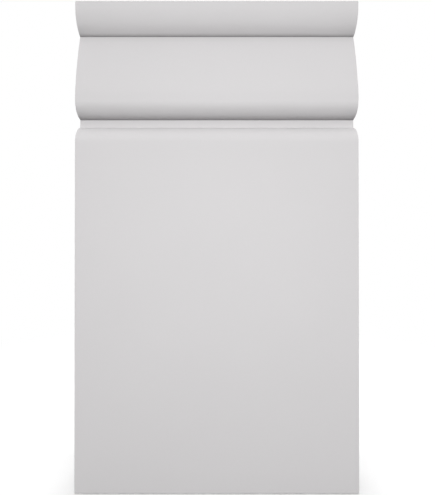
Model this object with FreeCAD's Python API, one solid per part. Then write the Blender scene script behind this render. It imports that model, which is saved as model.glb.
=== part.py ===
import FreeCAD, Part
import math
import os
from typing import NamedTuple

# A plinth block: the plain block at the foot of a door casing, with a moulded head.
# It is one piece, milled from a thick board and cut to width, so the moulding runs straight across and
# the two ends are flat. It stands on the floor with its back to the wall: +Z is up, the moulded face
# looks towards -Y, and the origin is the middle of the foot. Lengths are in millimetres.

# The block as a whole. The arris is the width of the small flat that breaks each outer edge.
WIDTH = 95.25
HEIGHT = 165.1
THICKNESS = 28.575
ARRIS = 0.25

# The moulding across the head, from the top down. Depths are measured back from the face. A tilt is how
# far the surface leans from upright, in degrees.
BAND_HEIGHT = 1.95
BEAD_UPPER_RADIUS = 10.1
BEAD_CHANGE_TILT = 30.0
BEAD_LOWER_RADIUS = 5.9
QUIRK_DEPTH = 4.53
CUSHION_UPPER_RADIUS = 124.0
CUSHION_CHANGE_TILT = 7.8
CUSHION_LOWER_RADIUS = 18.2
BELLY_HEIGHT = 1.9
TUCK_RADIUS = 4.65
SOFFIT_TILT = 75.0
FILLET_DEPTH = 4.76
FILLET_HEIGHT = 2.65
SHOULDER_RADIUS = 6.8

UPRIGHT = 0.0
BEAD_CHANGE = math.radians(BEAD_CHANGE_TILT)
CUSHION_CHANGE = math.radians(CUSHION_CHANGE_TILT)
SOFFIT = math.radians(SOFFIT_TILT)


class Place(NamedTuple):
    """A place in the section: how far behind the face, and how high above the floor."""

    depth: float
    level: float


class Round(NamedTuple):
    """A round of the section: the place of its centre, and its radius.

    A tilt above 0 is where its surface looks down, and a tilt below 0 is where it looks up.
    """

    depth: float
    level: float
    radius: float

    def at(self, tilt):
        """The place on the round where the surface has a tilt."""
        return Place(self.depth - self.radius * math.cos(tilt), self.level - self.radius * math.sin(tilt))

    def tilt_at_depth(self, depth):
        """The tilt, looking down, at which the round has gone back to a depth."""
        return math.acos((self.depth - depth) / self.radius)

    def tilt_at(self, place):
        """The tilt of the surface at a place on the round."""
        return math.atan2(self.level - place.level, self.depth - place.depth)

    def joined(self, tilt, radius):
        """The round of another radius that carries this one on smoothly from a tilt."""
        shift = self.radius - radius
        return Round(self.depth - shift * math.cos(tilt), self.level - shift * math.sin(tilt), radius)

    def raised(self, height):
        """The same round, higher up."""
        return self._replace(level=self.level + height)

    def inset(self, distance):
        """The round that lies a distance inside this one."""
        return self._replace(radius=self.radius - distance)


def round_from_face(radius, level):
    """A round that starts upright, flush with the face, at a level."""
    return Round(radius, level, radius)


def soffit_end(tuck, depth):
    """The place where the soffit, straight on from the tuck, has gone back to a depth."""
    start = tuck.at(SOFFIT)
    return Place(depth, start.level - (depth - start.depth) / math.tan(SOFFIT))


# The bead: a round that tightens as it turns under, cut off at the quirk.
BEAD_UPPER = round_from_face(BEAD_UPPER_RADIUS, HEIGHT - BAND_HEIGHT)
BEAD_LOWER = BEAD_UPPER.joined(BEAD_CHANGE, BEAD_LOWER_RADIUS)
QUIRK = BEAD_LOWER.at(BEAD_LOWER.tilt_at_depth(QUIRK_DEPTH))

# The cushion: a slow swell from the quirk out to its belly. It is worked out from the belly upwards,
# then raised until it starts at the quirk.
belly_round = round_from_face(CUSHION_LOWER_RADIUS, 0)
swell_round = belly_round.joined(-CUSHION_CHANGE, CUSHION_UPPER_RADIUS)
BELLY_TOP = QUIRK.level - swell_round.at(-swell_round.tilt_at_depth(QUIRK_DEPTH)).level
CUSHION_UPPER = swell_round.raised(BELLY_TOP)
CUSHION_LOWER = belly_round.raised(BELLY_TOP)

# The tuck: a round under the cushion, which runs on straight as a soffit until it meets the fillet.
TUCK = round_from_face(TUCK_RADIUS, BELLY_TOP - BELLY_HEIGHT)

# The shoulder: the round at the top of the plain face, cut off by the fillet.
fillet_foot = soffit_end(TUCK, FILLET_DEPTH).level - FILLET_HEIGHT
shoulder_round = round_from_face(SHOULDER_RADIUS, 0)
shoulder_height = shoulder_round.at(-shoulder_round.tilt_at_depth(FILLET_DEPTH)).level
SHOULDER = shoulder_round.raised(fillet_foot - shoulder_height)


def crossing(upper, lower):
    """The place near the face where two rounds, one above the other, cross."""
    back = lower.depth - upper.depth
    down = upper.level - lower.level
    apart = math.hypot(back, down)
    along = (apart**2 + upper.radius**2 - lower.radius**2) / (2 * apart)
    aside = math.sqrt(upper.radius**2 - along**2)
    depth = upper.depth + (along * back - aside * down) / apart
    level = upper.level - (along * down + aside * back) / apart
    return Place(depth, level)


class Outline:
    """A chain of lines and arcs in the plane of one section, at a station across the width."""

    def __init__(self, station, start):
        self.station = station
        self.here = start
        self.edges = []

    def point(self, place):
        """The point in space of a place in the section."""
        return FreeCAD.Vector(self.station, place.depth - THICKNESS / 2, place.level)

    def line_to(self, depth, level):
        """A straight stretch from where the outline is to a place."""
        end = Place(depth, level)
        self.edges.append(Part.LineSegment(self.point(self.here), self.point(end)).toShape())
        self.here = end

    def follow(self, bend, first_tilt, last_tilt):
        """The stretch of a round between two tilts."""
        tilts = (first_tilt, (first_tilt + last_tilt) / 2, last_tilt)
        self.edges.append(Part.Arc(*[self.point(bend.at(tilt)) for tilt in tilts]).toShape())
        self.here = bend.at(last_tilt)


def section(station, inset):
    """The block cut across at a station, with its whole outline moved into the block by an inset."""
    rounds = (BEAD_UPPER, BEAD_LOWER, CUSHION_UPPER, CUSHION_LOWER, TUCK, SHOULDER)
    bead_upper, bead_lower, cushion_upper, cushion_lower, tuck, shoulder = [r.inset(inset) for r in rounds]
    quirk = crossing(bead_lower, cushion_upper)
    fillet_depth = FILLET_DEPTH + inset
    face = inset
    back = THICKNESS - inset
    foot = inset
    top = HEIGHT - inset

    outline = Outline(station, Place(face + ARRIS, top))
    outline.line_to(face, top - ARRIS)
    outline.line_to(*bead_upper.at(UPRIGHT))
    outline.follow(bead_upper, UPRIGHT, BEAD_CHANGE)
    outline.follow(bead_lower, BEAD_CHANGE, bead_lower.tilt_at(quirk))
    outline.follow(cushion_upper, cushion_upper.tilt_at(quirk), -CUSHION_CHANGE)
    outline.follow(cushion_lower, -CUSHION_CHANGE, UPRIGHT)
    outline.line_to(*tuck.at(UPRIGHT))
    outline.follow(tuck, UPRIGHT, SOFFIT)
    outline.line_to(*soffit_end(tuck, fillet_depth))
    shoulder_start = -shoulder.tilt_at_depth(fillet_depth)
    outline.line_to(*shoulder.at(shoulder_start))
    outline.follow(shoulder, shoulder_start, UPRIGHT)
    outline.line_to(face, foot + ARRIS)
    outline.line_to(face + ARRIS, foot)
    outline.line_to(back - ARRIS, foot)
    outline.line_to(back, foot + ARRIS)
    outline.line_to(back, top - ARRIS)
    outline.line_to(back - ARRIS, top)
    outline.line_to(face + ARRIS, top)
    return Part.Wire(outline.edges)


def plinth_block():
    """The section carried straight across the width, and drawn in at both ends to break their edges."""
    end = WIDTH / 2
    stations = ((-end, ARRIS), (ARRIS - end, 0), (end - ARRIS, 0), (end, ARRIS))
    closed = True
    ruled = True
    return Part.makeLoft([section(station, inset) for station, inset in stations], closed, ruled)


os.makedirs("parts", exist_ok=True)
plinth_block().exportStep("parts/plinth_block.step")
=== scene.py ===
"""A primed plinth block and the studio around it, laid out as a Blender add-on.

The block is one piece of fibreboard with a moulding milled across its head. Here it gets its fine
surface, its coat of primer, and a pale studio with a camera square on to its face. Lengths are in
metres. The front looks towards -Y.
"""

import math
from typing import NamedTuple

import bpy
import numpy as np
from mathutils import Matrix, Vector


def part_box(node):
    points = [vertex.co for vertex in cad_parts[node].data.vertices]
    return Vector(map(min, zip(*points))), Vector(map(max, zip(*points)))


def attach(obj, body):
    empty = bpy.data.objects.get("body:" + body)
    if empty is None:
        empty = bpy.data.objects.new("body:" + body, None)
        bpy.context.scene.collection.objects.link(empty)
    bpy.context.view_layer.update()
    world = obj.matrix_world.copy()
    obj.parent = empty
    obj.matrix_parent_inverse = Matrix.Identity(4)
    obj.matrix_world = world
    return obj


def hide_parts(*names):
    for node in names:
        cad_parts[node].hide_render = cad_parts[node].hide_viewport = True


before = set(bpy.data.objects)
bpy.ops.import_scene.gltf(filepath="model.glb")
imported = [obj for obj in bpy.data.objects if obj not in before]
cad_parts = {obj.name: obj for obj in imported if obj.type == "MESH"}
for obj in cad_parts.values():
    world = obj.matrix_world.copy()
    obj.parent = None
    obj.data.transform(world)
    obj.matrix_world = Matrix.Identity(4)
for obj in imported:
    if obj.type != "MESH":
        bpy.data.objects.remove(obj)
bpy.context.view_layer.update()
NODE = "plinth_block"
LOW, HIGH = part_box(NODE)
MM = 0.001

bl_info = {
    "name": "Plinth Block",
    "version": (1, 0, 0),
    "blender": (4, 5, 0),
    "location": "3D View > Sidebar > Plinth",
    "description": "Models a primed plinth block and the studio around it",
    "category": "Object",
}


# Settings that a user would change.


def linear(hex_colour):
    """The linear red, green and blue of an sRGB hex colour."""
    coded = np.array([int(hex_colour[i : i + 2], 16) for i in (1, 3, 5)]) / 255
    return tuple(np.where(coded <= 0.04045, coded / 12.92, ((coded + 0.055) / 1.055) ** 2.4))


def length(name, description, metres):
    """A setting for a length."""
    return bpy.props.FloatProperty(
        name=name, description=description, default=metres, min=0, unit="LENGTH", precision=5
    )


def angle(name, description, degrees):
    """A setting for an angle."""
    return bpy.props.FloatProperty(
        name=name, description=description, default=math.radians(degrees), unit="ROTATION"
    )


def colour(name, description, hex_colour):
    """A setting for a colour."""
    return bpy.props.FloatVectorProperty(
        name=name,
        description=description,
        default=linear(hex_colour),
        min=0,
        max=1,
        subtype="COLOR",
    )


def factor(name, description, share):
    """A setting for a share from 0 to 1."""
    return bpy.props.FloatProperty(
        name=name, description=description, default=share, min=0, max=1, subtype="FACTOR"
    )


def power(name, description, watts):
    """A setting for the power of a lamp."""
    return bpy.props.FloatProperty(
        name=name, description=description, default=watts, min=0, unit="POWER"
    )


def camera_length(name, description, millimetres):
    """A setting for a length inside the camera, which Blender keeps in millimetres."""
    return bpy.props.FloatProperty(
        name=name, description=description, default=millimetres, min=1, unit="CAMERA"
    )


class BlockSizes(bpy.types.PropertyGroup):
    """Sizes of the block, and of the moulding across its head from the top down."""

    width: length("Width", "From end to end", HIGH.x - LOW.x)
    height: length("Height", "From the foot to the top", HIGH.z - LOW.z)
    thickness: length("Thickness", "From the face to the back", HIGH.y - LOW.y)
    arris: length("Arris", "Radius of the round that breaks each outer edge", 0.25 * MM)
    band_height: length("Band height", "Flat band along the top edge", 1.95 * MM)
    bead_upper_radius: length("Bead upper radius", "Upper part of the bead", 10.1 * MM)
    bead_change: angle("Bead change", "Tilt where the bead tightens", 30.0)
    bead_lower_radius: length("Bead lower radius", "Lower part of the bead", 5.9 * MM)
    quirk_depth: length("Quirk depth", "Sharp groove under the bead, behind the face", 4.53 * MM)
    cushion_upper_radius: length("Cushion upper radius", "Slow swell below the quirk", 124.0 * MM)
    cushion_change: angle("Cushion change", "Tilt where the swell tightens", 7.8)
    cushion_lower_radius: length("Cushion lower radius", "Last part of the swell", 18.2 * MM)
    belly_height: length("Belly height", "Upright part of the cushion", 1.9 * MM)
    tuck_radius: length("Tuck radius", "Round under the cushion", 4.65 * MM)
    soffit_tilt: angle("Soffit tilt", "Tilt of the flat between the tuck and the fillet", 75.0)
    fillet_depth: length("Fillet depth", "Recessed flat, behind the face", 4.76 * MM)
    fillet_height: length("Fillet height", "Height of the recessed flat", 2.65 * MM)
    shoulder_radius: length("Shoulder radius", "Round at the top of the plain face", 6.8 * MM)


class PrimerFinish(bpy.types.PropertyGroup):
    """Colours and texture of the primed board, with painted shade in its inner corners."""

    pale: colour("Pale primer", "Where the coat is full", "#DDDBDC")
    deep: colour("Deep primer", "Where the coat is a little thinner", "#D9D7D8")
    # Painted shade: the corner colour darkens undersides that run into the quirk and the soffit.
    shaded_corner: colour("Corner shade", "Painted shade in the inner corners", "#838182")
    quirk_shade_reach: length("Quirk reach", "How far the painted shade comes out of the quirk", 2.1 * MM)
    soffit_shade_reach: length("Soffit reach", "How far the painted shade comes along the soffit", 4.7 * MM)
    full_roughness: factor("Full coat roughness", "Sanded sheen where the coat is full", 0.55)
    thin_roughness: factor("Thin coat roughness", "Duller sheen where it is thinner", 0.65)
    cloud_width: length("Cloud width", "Size of the slow drift in tone", 28.0 * MM)
    stipple_width: length("Stipple width", "Size of the bumps that spraying leaves", 0.9 * MM)
    stipple_height: length("Stipple height", "Height of the bumps that spraying leaves", 0.008 * MM)
    stipple_share: factor("Stipple share", "How much of the drift comes from these bumps", 0.35)
    fibre: colour("Fibre tone", "Where fibres show through on cut surfaces", "#D1CFD0")
    fibre_roughness: factor("Fibre roughness", "Dull surface where fibres show through", 0.8)
    fibre_width: length("Fibre width", "Thickness of the layers of fibre in the board", 0.45 * MM)
    fibre_length: length("Fibre length", "Length of the fibres along the layers", 1.6 * MM)
    fibre_height: length("Fibre height", "How far fibres stand up on cut surfaces", 0.02 * MM)
    skin: length("Skin", "Depth of the dense skin of the board", 3.0 * MM)


class StageSettings(bpy.types.PropertyGroup):
    """Floor, light and camera."""

    floor_colour: colour("Floor", "Colour of the floor to the camera", "#F0F0F0")
    floor_bounce: colour("Floor bounce", "Colour of the floor to the light on it", "#616161")
    floor_size: length("Floor size", "Length of a side of the floor", 6.0)
    fade_start: length("Fade start", "From the middle to where its tone starts to fade", 100.0 * MM)
    fade_end: length("Fade end", "From the middle to where the floor is plain white", 260.0 * MM)
    surround: factor("Surround", "Strength of the light from all around", 0.752)
    key_power: power("Key power", "Power of the soft lamp in front", 0.321)
    key_size: length("Key size", "Length of a side of the lamp in front", 180.0 * MM)
    key_distance: length("Key distance", "From the middle out to the lamp in front", 250.0 * MM)
    key_height: length("Key height", "From the floor to the lamp in front", 115.0 * MM)
    key_offset: length("Key offset", "How far the lamp in front stands to the right", 10.0 * MM)
    fill_power: power("Fill power", "Power of each soft lamp at the ends", 0.5)
    fill_size: length("Fill size", "Length of a side of the lamps at the ends", 200.0 * MM)
    fill_distance: length("Fill distance", "From the middle out to these lamps", 420.0 * MM)
    fill_height: length("Fill height", "From the floor to the lamps at the ends", 200.0 * MM)
    fill_setback: length("Fill setback", "How far behind the middle these lamps stand", 120.0 * MM)
    rear_power: power("Rear power", "Power of the soft lamp high up behind", 2.8)
    rear_size: length("Rear size", "Length of a side of the lamp behind", 300.0 * MM)
    rear_distance: length("Rear distance", "From the middle back to the lamp behind", 500.0 * MM)
    rear_height: length("Rear height", "From the floor to the lamp behind", 900.0 * MM)
    lens: camera_length("Lens", "Focal length of the camera", 26.72)
    sensor: camera_length("Sensor", "Width of the camera's sensor", 36.0)
    distance: length("Camera distance", "From the camera to the face", 123.0 * MM)
    camera_height: length("Camera height", "From the floor to the camera", 81.58 * MM)
    camera_offset: length("Camera offset", "How far the camera stands to the right", 0.245 * MM)
    pitch: angle("Camera pitch", "How far the camera looks up", 0.278)


# The block.

# How finely its surface is divided. A round has steps of at most this turn and this length. The
# steps of an arris are even in number, so that none looks exactly half way between its two faces.
ROUND_STEP_TURN = math.radians(2.5)
ROUND_STEP_LENGTH = 1.2 * MM
FLAT_STEP_LENGTH = 6.0 * MM
ARRIS_STEPS = 6
STATIONS_PER_HALF = 12

# Rows close to the ends of a flat part keep its shading flat. They lie this far in, or this share
# of a short part, and on the two ends of the block they lie closer still.
HOLD = 0.6 * MM
MOST_HOLD = 0.25
END_HOLD = 0.15 * MM

# Parts of the section that turn by more than this where they meet have a sharp line between them.
SHARP_TURN = math.radians(20.0)

# Headings on the way round the section.
DOWN = 0.0
BACK = math.pi / 2
UP = math.pi
FORWARD = 3 * math.pi / 2
DOWN_AGAIN = 2 * math.pi


class Stretch(NamedTuple):
    """A stretch of the section: a round from one heading to another, or a straight length."""

    first: float
    last: float
    radius: float
    length: float
    is_arris: bool


def bend(first, last, radius):
    """A round of the moulding."""
    return Stretch(first, last, radius, 0.0, False)


def arris_round(first, last, radius):
    """A round that breaks an outer edge."""
    return Stretch(first, last, radius, 0.0, True)


def straight(heading, distance):
    """A flat part of the section."""
    return Stretch(heading, heading, 0.0, distance, False)


def shares(stretch):
    """Where the rows of a stretch lie, as shares of it.

    A round is divided evenly into small turns and small lengths. A straight stretch also has a row
    close to each end, so that its shading stays flat up to the round beside it.
    """
    if stretch.is_arris:
        return np.linspace(0, 1, ARRIS_STEPS + 1)
    turn = abs(stretch.last - stretch.first)
    if turn > 0:
        steps = max(turn / ROUND_STEP_TURN, turn * stretch.radius / ROUND_STEP_LENGTH)
        return np.linspace(0, 1, math.ceil(steps) + 1)
    hold = min(HOLD / stretch.length, MOST_HOLD)
    steps = math.ceil(stretch.length / FLAT_STEP_LENGTH)
    return np.concatenate(([0], np.linspace(hold, 1 - hold, steps + 1), [1]))


class Outline(NamedTuple):
    """The closed section: the place of each row, how it is drawn in, and whether it is sharp."""

    places: np.ndarray
    draws: np.ndarray
    creases: np.ndarray


def walk(start, stretches):
    """Walks round the section, stretch by stretch, from a place given as its depth and level.

    At heading t the walk goes (sin t, -cos t), and (cos t, sin t) leads into the block. The part s
    of a round of radius R from heading a to b lies R (cos a - cos t, sin a - sin t) from its start,
    where t = a + s (b - a), and the part s of a straight length L lies s L (sin t, -cos t) from it.
    A row where two stretches meet is drawn in along their mitre, (m + n) / (1 + m.n) for ways in m
    and n, and the round of an arris is drawn in whole, along its diagonal.
    """
    places, draws = [], []
    here = np.array(start)
    for stretch in stretches:
        share = shares(stretch)
        heading = stretch.first + share * (stretch.last - stretch.first)
        inward = np.stack([np.cos(heading), np.sin(heading)], axis=-1)
        along = np.stack([np.sin(heading), -np.cos(heading)], axis=-1)
        turned = stretch.radius * (inward[0] - inward)
        place = here + turned + stretch.length * share[:, None] * along
        if stretch.is_arris:
            inward[:] = inward[0] + inward[-1]
        places.append(place)
        draws.append(inward)
        here = place[-1]
    creases = [np.zeros(len(draw), bool) for draw in draws]
    for index, stretch in enumerate(stretches):
        before, after = draws[index - 1][-1], draws[index][0]
        together = before @ after
        if stretches[index - 1].is_arris:
            draws[index][0] = before
        elif not stretch.is_arris:
            creases[index][0] = together < math.cos(SHARP_TURN)
            draws[index][0] = (before + after) / (1 + together)
    open_rows = [[rows[:-1] for rows in part] for part in (places, draws, creases)]
    return Outline(*[np.concatenate(rows) for rows in open_rows])


def tilt_at_depth(depth, radius, change=0.0, first_radius=0.0):
    """The tilt at which a round that starts upright has gone back to a depth.

    At tilt t a round of radius R has gone back by R (1 - cos t). One that starts with another
    radius F, up to a change at tilt c, has gone back by (F - R) (1 - cos c) more.
    """
    return math.acos(1 - (depth - (first_radius - radius) * (1 - math.cos(change))) / radius)


def section(sizes):
    """The section of the block: down its face, back under the foot, up the back and forward.

    The bead and the tuck go back from the face. The cushion and the shoulder come out to it, so
    their tilts are below 0 and are counted from the face up.
    """
    bead_end = tilt_at_depth(
        sizes.quirk_depth, sizes.bead_lower_radius, sizes.bead_change, sizes.bead_upper_radius
    )
    cushion_start = -tilt_at_depth(
        sizes.quirk_depth,
        sizes.cushion_upper_radius,
        sizes.cushion_change,
        sizes.cushion_lower_radius,
    )
    tuck_depth = sizes.tuck_radius * (1 - math.cos(sizes.soffit_tilt))
    soffit_length = (sizes.fillet_depth - tuck_depth) / math.sin(sizes.soffit_tilt)
    shoulder_start = -tilt_at_depth(sizes.fillet_depth, sizes.shoulder_radius)
    moulding = [
        straight(DOWN, sizes.band_height - sizes.arris),
        bend(DOWN, sizes.bead_change, sizes.bead_upper_radius),
        bend(sizes.bead_change, bead_end, sizes.bead_lower_radius),
        bend(cushion_start, -sizes.cushion_change, sizes.cushion_upper_radius),
        bend(-sizes.cushion_change, DOWN, sizes.cushion_lower_radius),
        straight(DOWN, sizes.belly_height),
        bend(DOWN, sizes.soffit_tilt, sizes.tuck_radius),
        straight(sizes.soffit_tilt, soffit_length),
        straight(DOWN, sizes.fillet_height),
        bend(shoulder_start, DOWN, sizes.shoulder_radius),
    ]
    drop = sum(
        part.radius * (math.sin(part.last) - math.sin(part.first))
        + part.length * math.cos(part.first)
        for part in moulding
    )
    start = (0.0, sizes.height - sizes.arris)
    return walk(start, [
        *moulding,
        straight(DOWN, sizes.height - 2 * sizes.arris - drop),
        arris_round(DOWN, BACK, sizes.arris),
        straight(BACK, sizes.thickness - 2 * sizes.arris),
        arris_round(BACK, UP, sizes.arris),
        straight(UP, sizes.height - 2 * sizes.arris),
        arris_round(UP, FORWARD, sizes.arris),
        straight(FORWARD, sizes.thickness - 2 * sizes.arris),
        arris_round(FORWARD, DOWN_AGAIN, sizes.arris),
    ])


def stations(sizes):
    """Stations across the width, and how far the section is drawn in at each.

    Over the last arris r the section is drawn in along a quarter circle: at angle p it lies r sin p
    further out and r (1 - cos p) further in. One more ring lies on the flat of each end.
    """
    flat = sizes.width / 2 - sizes.arris
    quarter = np.linspace(0, math.pi / 2, ARRIS_STEPS + 1)
    middle = np.linspace(0, flat - HOLD, STATIONS_PER_HALF)
    reach = np.concatenate((middle, flat + sizes.arris * np.sin(quarter), [sizes.width / 2]))
    drawn_in = sizes.arris * (1 - np.cos(quarter))
    inset = np.concatenate((np.zeros_like(middle), drawn_in, [sizes.arris + END_HOLD]))
    return np.concatenate((-reach[:0:-1], reach)), np.concatenate((inset[:0:-1], inset))


def inner_corners(outline):
    """The sharp inner corners of the section from the top down, in the middle of the width."""
    return [(0.0, LOW.y + depth, LOW.z + level) for depth, level in outline.places[outline.creases]]


def swept_block(sizes, outline):
    """The mesh of the block: its section carried across the width, with a flat face at each end."""
    across, inset = stations(sizes)
    rows, rings = len(outline.places), len(across)
    drawn = outline.places + inset[:, None, None] * outline.draws
    points = np.empty((rings, rows, 3))
    points[..., 0] = across[:, None]
    points[..., 1:] = drawn + (LOW.y, LOW.z)
    index = np.arange(rings * rows).reshape(rings, rows)
    beside = np.roll(index, -1, axis=1)
    quads = np.stack([index[:-1], beside[:-1], beside[1:], index[1:]], axis=-1).reshape(-1, 4)
    ends = [index[0, ::-1].tolist(), index[-1].tolist()]

    mesh = bpy.data.meshes.new("plinth_block_primed")
    mesh.from_pydata(points.reshape(-1, 3).tolist(), [], quads.tolist() + ends)
    mesh.shade_smooth()
    edges = np.empty(2 * len(mesh.edges), np.int32)
    mesh.edges.foreach_get("vertices", edges)
    edge_rows = edges.reshape(-1, 2) % rows
    sharp = (edge_rows[:, 0] == edge_rows[:, 1]) & outline.creases[edge_rows[:, 0]]
    mesh.attributes.new("sharp_edge", "BOOLEAN", "EDGE").data.foreach_set("value", sharp)
    mesh.update()
    return mesh


# Materials.

WHITE = (1.0, 1.0, 1.0, 1.0)

# Typical of dried acrylic.
PRIMER_IOR = 1.5

# The stipple is soft, so it has less fine detail than noise has by itself.
STIPPLE_DETAIL = 1.0

# How squarely a surface looks the way that the faces of the board do. From the first value up, the
# layers of fibre lie along it, and from the second down, it cuts them across.
ALONG_LAYERS = 0.6
ACROSS_LAYERS = 0.2

# Levels of the fibre pattern at which fibres start to show, and show fully.
FIRST_FIBRES = 0.45
FULL_FIBRES = 0.7

# A surface looks down where its normal points lower than this. Only such surfaces get the painted
# shade in the inner corners.
UNDERSIDE = -0.05

# How fast the painted shade in the inner corners fades out: the power of the share of its reach
# left.
CORNER_SHADE_FADE = 3.0

# Keeps the depth and level of a place, and leaves out where it lies across the width.
IN_SECTION = (0.0, 1.0, 1.0)


def add_node(tree, kind, inputs=None, **settings):
    """Adds a node with its settings, and gives each input its value or the output that feeds it."""
    node = tree.nodes.new(kind)
    for name, value in settings.items():
        setattr(node, name, value)
    for name, value in (inputs or {}).items():
        if isinstance(value, bpy.types.NodeSocket):
            tree.links.new(value, node.inputs[name])
        else:
            node.inputs[name].default_value = value
    return node


def empty_tree(owner):
    """The cleared node tree of a material or world."""
    owner.use_nodes = True
    owner.node_tree.nodes.clear()
    return owner.node_tree


def opened_core(tree, place, normal, finish, thickness):
    """Where the open core of the board is cut across, from 0 to 1.

    It lies inside the dense skin of the board, on surfaces that look away from its faces.
    """
    parts = add_node(tree, "ShaderNodeSeparateXYZ", {"Vector": place})
    off_middle = add_node(tree, "ShaderNodeMath", {0: parts.outputs["Y"]}, operation="ABSOLUTE")
    inside = add_node(tree, "ShaderNodeMapRange", {
        "Value": off_middle.outputs["Value"],
        "From Min": thickness / 2,
        "From Max": thickness / 2 - finish.skin,
    }, interpolation_type="SMOOTHSTEP")
    facing = add_node(tree, "ShaderNodeMath", {0: normal["Y"]}, operation="ABSOLUTE")
    return add_node(tree, "ShaderNodeMapRange", {
        "Value": facing.outputs["Value"],
        "From Min": ALONG_LAYERS,
        "From Max": ACROSS_LAYERS,
        "To Max": inside.outputs["Result"],
    }, interpolation_type="SMOOTHSTEP").outputs["Result"]


def painted_corner_shade(tree, place, normal, corners):
    """Painted shade in the inner corners, from 0 to 1.

    It darkens the undersides where they run into the inner corners, where shade falls. At a
    distance d from one of these corners, with reach r, it is (1 - d / r) to the fading power above.
    """
    in_section = add_node(tree, "ShaderNodeVectorMath", {
        0: place,
        1: IN_SECTION,
    }, operation="MULTIPLY")
    under = add_node(tree, "ShaderNodeMath", {0: normal["Z"], 1: UNDERSIDE}, operation="LESS_THAN")
    closeness = 0.0
    for shaded_corner, reach in corners:
        away = add_node(tree, "ShaderNodeVectorMath", {
            0: in_section.outputs["Vector"],
            1: shaded_corner,
        }, operation="DISTANCE")
        near = add_node(tree, "ShaderNodeMapRange", {
            "Value": away.outputs["Value"],
            "From Min": reach,
            "From Max": 0.0,
            "To Max": under.outputs["Value"],
        })
        closeness = add_node(tree, "ShaderNodeMath", {
            0: near.outputs["Result"],
            1: closeness,
        }, operation="MAXIMUM").outputs["Value"]
    return add_node(tree, "ShaderNodeMath", {
        0: closeness,
        1: CORNER_SHADE_FADE,
    }, operation="POWER").outputs["Value"]


def sprayed_primer_on_fibreboard(finish, thickness, corners):
    """White acrylic primer, sprayed on milled fibreboard and sanded.

    It gives the eye an even, matte, faintly cool white with no grain, and painted shade as fine
    dark lines in the inner corners. Close up there is the soft stipple of the spray, and where a
    cutter or saw has opened the core of the board, fine fibres show through the coat.
    """
    material = bpy.data.materials.new("sprayed_primer_on_fibreboard")
    tree = empty_tree(material)
    coordinates = add_node(tree, "ShaderNodeTexCoord").outputs
    place = coordinates["Object"]
    normal = add_node(tree, "ShaderNodeSeparateXYZ", {"Vector": coordinates["Normal"]}).outputs
    core = opened_core(tree, place, normal, finish, thickness)

    # The coat drifts very slightly in tone, over a few centimetres and with the spray's stipple.
    clouds = add_node(tree, "ShaderNodeTexNoise", {
        "Vector": place,
        "Scale": 1 / finish.cloud_width,
    })
    stipple = add_node(tree, "ShaderNodeTexNoise", {
        "Vector": place,
        "Scale": 1 / finish.stipple_width,
        "Detail": STIPPLE_DETAIL,
    })
    drift = add_node(tree, "ShaderNodeMix", {
        "Factor": finish.stipple_share,
        "A": clouds.outputs["Fac"],
        "B": stipple.outputs["Fac"],
    })
    tone = add_node(tree, "ShaderNodeMix", {
        "Factor": drift.outputs["Result"],
        "A": (*finish.deep, 1.0),
        "B": (*finish.pale, 1.0),
    }, data_type="RGBA")
    stippled = add_node(tree, "ShaderNodeBump", {
        "Height": stipple.outputs["Fac"],
        "Distance": finish.stipple_height,
    })

    # The fibres lie in thin layers along the faces of the board. Real layers are about 0.2 mm
    # thick, and these are coarser so that they show. Where they stand up, the coat is a little
    # deeper in tone.
    layers = add_node(tree, "ShaderNodeMapping", {
        "Vector": place,
        "Scale": (1 / finish.fibre_length, 1 / finish.fibre_width, 1 / finish.fibre_length),
    })
    fibres = add_node(tree, "ShaderNodeTexNoise", {
        "Vector": layers.outputs["Vector"],
        "Scale": 1.0,
    })
    raised = add_node(tree, "ShaderNodeBump", {
        "Strength": core,
        "Height": fibres.outputs["Fac"],
        "Distance": finish.fibre_height,
        "Normal": stippled.outputs["Normal"],
    })
    bare = add_node(tree, "ShaderNodeMapRange", {
        "Value": fibres.outputs["Fac"],
        "From Min": FIRST_FIBRES,
        "From Max": FULL_FIBRES,
        "To Max": core,
    }, interpolation_type="SMOOTHSTEP")
    fibrous = add_node(tree, "ShaderNodeMix", {
        "Factor": bare.outputs["Result"],
        "A": tone.outputs["Result"],
        "B": (*finish.fibre, 1.0),
    }, data_type="RGBA")

    # Sanding leaves a full coat with a soft sheen, a thinner coat duller, and standing fibres dull.
    sanded = add_node(tree, "ShaderNodeMapRange", {
        "Value": drift.outputs["Result"],
        "To Min": finish.thin_roughness,
        "To Max": finish.full_roughness,
    })
    dulled = add_node(tree, "ShaderNodeMix", {
        "Factor": bare.outputs["Result"],
        "A": sanded.outputs["Result"],
        "B": finish.fibre_roughness,
    })

    # Painted shade: the undersides that run into the inner corners are darkened with the corner
    # colour.
    coat = add_node(tree, "ShaderNodeMix", {
        "Factor": painted_corner_shade(tree, place, normal, corners),
        "A": fibrous.outputs["Result"],
        "B": (*finish.shaded_corner, 1.0),
    }, data_type="RGBA")
    shader = add_node(tree, "ShaderNodeBsdfPrincipled", {
        "Base Color": coat.outputs["Result"],
        "Roughness": dulled.outputs["Result"],
        "IOR": PRIMER_IOR,
        "Normal": raised.outputs["Normal"],
    })
    add_node(tree, "ShaderNodeOutputMaterial", {"Surface": shader.outputs["BSDF"]})
    return material


def seen_directly(tree):
    """1 for what the camera sees, itself, mirrored or through glass, and 0 for light on its way."""
    path = add_node(tree, "ShaderNodeLightPath").outputs
    mirrored = add_node(tree, "ShaderNodeMath", {
        0: path["Is Camera Ray"],
        1: path["Is Glossy Ray"],
    }, operation="MAXIMUM")
    return add_node(tree, "ShaderNodeMath", {
        0: mirrored.outputs["Value"],
        1: path["Is Transmission Ray"],
    }, operation="MAXIMUM").outputs["Value"]


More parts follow.
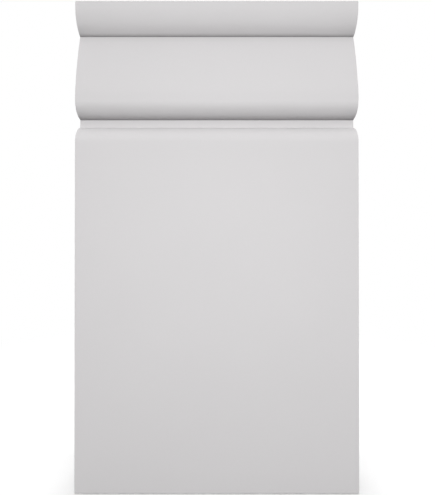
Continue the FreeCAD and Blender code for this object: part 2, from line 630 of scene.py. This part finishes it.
def matte_studio_board(stage):
    """Matte studio board for the floor.

    It gives the eye a pale ground that keeps the shadow of the block, and fades to white further
    out. It throws little light back up.
    """
    material = bpy.data.materials.new("matte_studio_board")
    tree = empty_tree(material)
    seen = seen_directly(tree)
    tone = add_node(tree, "ShaderNodeMix", {
        "Factor": seen,
        "A": (*stage.floor_bounce, 1.0),
        "B": (*stage.floor_colour, 1.0),
    }, data_type="RGBA")
    matte = add_node(tree, "ShaderNodeBsdfDiffuse", {"Color": tone.outputs["Result"]})
    white = add_node(tree, "ShaderNodeEmission", {"Color": WHITE, "Strength": 1.0})
    place = add_node(tree, "ShaderNodeTexCoord").outputs["Object"]
    away = add_node(tree, "ShaderNodeVectorMath", {0: place}, operation="LENGTH")
    fade = add_node(tree, "ShaderNodeMapRange", {
        "Value": away.outputs["Value"],
        "From Min": stage.fade_start,
        "From Max": stage.fade_end,
        "To Max": seen,
    }, interpolation_type="SMOOTHSTEP")
    both = add_node(tree, "ShaderNodeMixShader", {
        0: fade.outputs["Result"],
        1: matte.outputs["BSDF"],
        2: white.outputs["Emission"],
    })
    add_node(tree, "ShaderNodeOutputMaterial", {"Surface": both.outputs["Shader"]})
    return material


def white_surround(stage):
    """A world that looks white, and sends an even, weaker light from all around."""
    world = bpy.data.worlds.new("white_surround")
    tree = empty_tree(world)
    light = add_node(tree, "ShaderNodeBackground", {"Color": WHITE, "Strength": stage.surround})
    white = add_node(tree, "ShaderNodeBackground", {"Color": WHITE, "Strength": 1.0})
    both = add_node(tree, "ShaderNodeMixShader", {
        0: seen_directly(tree),
        1: light.outputs["Background"],
        2: white.outputs["Background"],
    })
    add_node(tree, "ShaderNodeOutputWorld", {"Surface": both.outputs["Shader"]})
    return world


# The stage.

# The camera stands close, so it also has to show what is closer than Blender's usual 100 mm.
NEAREST_SEEN = 10.0 * MM


def show(name, data):
    """A new object in the scene, at the origin."""
    shown = bpy.data.objects.new(name, data)
    bpy.context.scene.collection.objects.link(shown)
    return shown


def lay_floor(stage):
    """A flat square floor under the block."""
    half = stage.floor_size / 2
    mesh = bpy.data.meshes.new("studio_floor")
    corners = [(-half, -half, 0), (half, -half, 0), (half, half, 0), (-half, half, 0)]
    mesh.from_pydata(corners, [], [(0, 1, 2, 3)])
    mesh.materials.append(matte_studio_board(stage))
    show("studio_floor", mesh)


def place_lamp(name, place, size, watts):
    """A square soft lamp at a place, turned to the middle of the block."""
    light = bpy.data.lights.new(name, "AREA")
    light.size = size
    light.energy = watts
    lamp = show(name, light)
    lamp.location = place
    lamp.rotation_euler = ((LOW + HIGH) / 2 - Vector(place)).to_track_quat("-Z", "Y").to_euler()
    lamp.visible_camera = False


def place_lamps(stage):
    """One soft lamp in front, one towards each end, and one high up behind."""
    front = (stage.key_offset, -stage.key_distance, stage.key_height)
    left = (-stage.fill_distance, stage.fill_setback, stage.fill_height)
    right = (stage.fill_distance, stage.fill_setback, stage.fill_height)
    behind = (0.0, stage.rear_distance, stage.rear_height)
    place_lamp("key_lamp", front, stage.key_size, stage.key_power)
    place_lamp("left_lamp", left, stage.fill_size, stage.fill_power)
    place_lamp("right_lamp", right, stage.fill_size, stage.fill_power)
    place_lamp("rear_lamp", behind, stage.rear_size, stage.rear_power)


def place_camera(stage):
    """A camera close to the block, square on to its face apart from a slight pitch."""
    camera = bpy.data.cameras.new("camera")
    camera.lens = stage.lens
    camera.sensor_width = stage.sensor
    camera.clip_start = NEAREST_SEEN
    viewer = show("camera", camera)
    viewer.location = (stage.camera_offset, LOW.y - stage.distance, stage.camera_height)
    viewer.rotation_euler = (math.pi / 2 + stage.pitch, 0.0, 0.0)
    bpy.context.scene.camera = viewer


# The add-on.


class PLINTH_OT_block(bpy.types.Operator):
    """Mills the block and primes it"""

    bl_idname = "plinth.block"
    bl_label = "Plinth Block"

    def execute(self, context):
        sizes = context.scene.plinth_sizes
        finish = context.scene.plinth_finish
        outline = section(sizes)
        # The quirk and the end of the soffit get painted shade on the undersides that run into
        # them.
        quirk, soffit_end, _ = inner_corners(outline)
        corners = ((quirk, finish.quirk_shade_reach), (soffit_end, finish.soffit_shade_reach))
        primer = sprayed_primer_on_fibreboard(finish, sizes.thickness, corners)
        block = show("plinth_block_primed", swept_block(sizes, outline))
        block.data.materials.append(primer)
        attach(block, "root")
        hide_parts(NODE)
        return {"FINISHED"}


class PLINTH_OT_stage(bpy.types.Operator):
    """Sets up the floor, the light and the camera"""

    bl_idname = "plinth.stage"
    bl_label = "Studio"

    def execute(self, context):
        stage = context.scene.plinth_stage
        lay_floor(stage)
        context.scene.world = white_surround(stage)
        place_lamps(stage)
        place_camera(stage)
        context.scene.view_settings.view_transform = "Standard"
        return {"FINISHED"}


class PLINTH_PT_sidebar(bpy.types.Panel):
    """Lists the steps that make the block and its studio, with their settings"""

    bl_label = "Plinth Block"
    bl_space_type = "VIEW_3D"
    bl_region_type = "UI"
    bl_category = "Plinth"

    def draw(self, context):
        for operator, groups in STEPS:
            self.layout.operator(operator)
            for group in groups:
                settings = getattr(context.scene, group)
                for name in GROUPS[group].__annotations__:
                    self.layout.prop(settings, name)


STEPS = (
    (PLINTH_OT_block.bl_idname, ("plinth_sizes", "plinth_finish")),
    (PLINTH_OT_stage.bl_idname, ("plinth_stage",)),
)
GROUPS = {
    "plinth_sizes": BlockSizes,
    "plinth_finish": PrimerFinish,
    "plinth_stage": StageSettings,
}
CLASSES = (*GROUPS.values(), PLINTH_OT_block, PLINTH_OT_stage, PLINTH_PT_sidebar)


def register():
    """Adds the classes to Blender and the settings to the scene."""
    for kind in CLASSES:
        bpy.utils.register_class(kind)
    for name, group in GROUPS.items():
        setattr(bpy.types.Scene, name, bpy.props.PointerProperty(type=group))


def unregister():
    """Takes the settings and the classes away again."""
    for name in GROUPS:
        delattr(bpy.types.Scene, name)
    for kind in reversed(CLASSES):
        bpy.utils.unregister_class(kind)


def main():
    """Builds the block and its studio."""
    register()
    bpy.ops.plinth.block()
    bpy.ops.plinth.stage()


if __name__ == "__main__":
    main()
